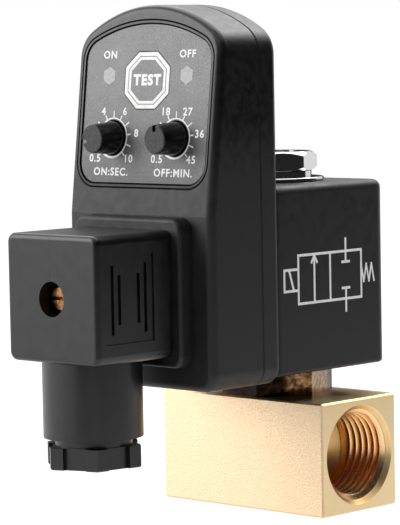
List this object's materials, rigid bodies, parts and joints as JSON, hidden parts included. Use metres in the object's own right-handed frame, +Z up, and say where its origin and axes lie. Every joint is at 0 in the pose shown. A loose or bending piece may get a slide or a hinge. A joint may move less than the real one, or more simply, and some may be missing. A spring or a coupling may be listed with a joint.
{
  "type": "automatic drain valve",
  "caption": "Timed condensate drain valve: brass two-port solenoid valve with a swivelling coil, a plug-in timer with two dials and a test key, and a cable plug.",
  "frame": {"origin": "bottom centre of the brass body, under the axis of the solenoid tube", "axes": "+X out of the outlet port, -Y towards the timer's face and the cable plug, +Z up along the solenoid tube"},
  "size_m": [0.05, 0.0906, 0.1164],
  "materials": {
    "brass": "machined",
    "stainless": "turned",
    "chrome_steel": "bright plated",
    "magnetic_steel": "dull pressed steel",
    "copper": "enamelled copper",
    "tinned_brass": "tin plated",
    "coil_resin": "moulded, satin",
    "timer_plastic": "moulded, semi gloss",
    "plug_plastic": "moulded, fine grain",
    "panel_film": "printed film, grained",
    "knob_plastic": "moulded",
    "key_film": "printed film, grained",
    "clear_lens": "frosted",
    "led_epoxy": "diffused",
    "white_nylon": "natural nylon",
    "rubber": "moulded rubber",
    "pale_rubber": "moulded rubber",
    "board": "solder mask",
    "component_blue": "epoxy",
    "component_black": "moulded epoxy"
  },
  "bodies": {
    "valve": {"valve_body": "brass", "tube_base": "brass", "tube_o_ring": "rubber", "guide_tube": "stainless", "fixed_core": "stainless", "shading_ring": "copper", "flat_washer": "chrome_steel", "lock_washer": "chrome_steel", "coil_nut": "chrome_steel"},
    "plunger_group": {"plunger": "stainless", "plunger_seal": "rubber", "plunger_spring": "stainless"},
    "coil_and_timer": {"coil_casing": "coil_resin", "coil_frame": "magnetic_steel", "bobbin": "white_nylon", "winding": "copper", "coil_terminals": "tinned_brass", "timer_gasket": "rubber", "timer_rear_shell": "timer_plastic", "timer_front_shell": "timer_plastic", "timer_panel": "panel_film", "lens_on": "clear_lens", "lens_off": "clear_lens", "led_on": "led_epoxy", "led_off": "led_epoxy", "pot_on": "component_blue", "pot_off": "component_blue", "timer_board": "board", "test_switch": "component_black", "dropper_capacitor": "component_blue", "timer_chip": "component_black", "triac": "component_black", "socket_block": "plug_plastic", "socket_clips": "tinned_brass", "blade_carrier": "plug_plastic", "timer_blades": "tinned_brass", "case_screws": "chrome_steel", "plug_housing": "plug_plastic", "plug_gasket": "rubber", "plug_insert": "plug_plastic", "plug_clips": "tinned_brass", "clamp_screws": "chrome_steel", "plug_screw": "copper", "screw_o_ring": "rubber", "gland_seal": "pale_rubber", "gland_washer": "white_nylon", "gland_nut": "plug_plastic"},
    "test_key": {"test_button": "key_film", "switch_stem": "component_black"},
    "dial_on": {"knob_on": "knob_plastic"},
    "dial_off": {"knob_off": "knob_plastic"}
  },
  "joints": [
    {"name": "plunger_slide", "type": "slide", "parent": "valve", "child": "plunger_group", "axis": [0, 0, 1], "range_m": [0, 0.0025], "stiffness_N_per_m": 300, "springref_m": -0.008, "deforming": ["plunger_spring"]},
    {"name": "coil_swivel", "type": "hinge", "parent": "valve", "child": "coil_and_timer", "pos_m": [0, 0, 0.054], "axis": [0, 0, 1], "continuous": true},
    {"name": "test_key_press", "type": "slide", "parent": "coil_and_timer", "child": "test_key", "axis": [0, 1, 0], "range_m": [0, 0.0004], "stiffness_N_per_m": 1500, "springref_m": -0.0005},
    {"name": "dial_on_turn", "type": "hinge", "parent": "coil_and_timer", "child": "dial_on", "pos_m": [-0.0097, -0.045, 0.0869], "axis": [0, 1, 0], "range_deg": [-32, 238]},
    {"name": "dial_off_turn", "type": "hinge", "parent": "coil_and_timer", "child": "dial_off", "pos_m": [0.0097, -0.045, 0.0869], "axis": [0, 1, 0], "range_deg": [-135, 135]}
  ]
}
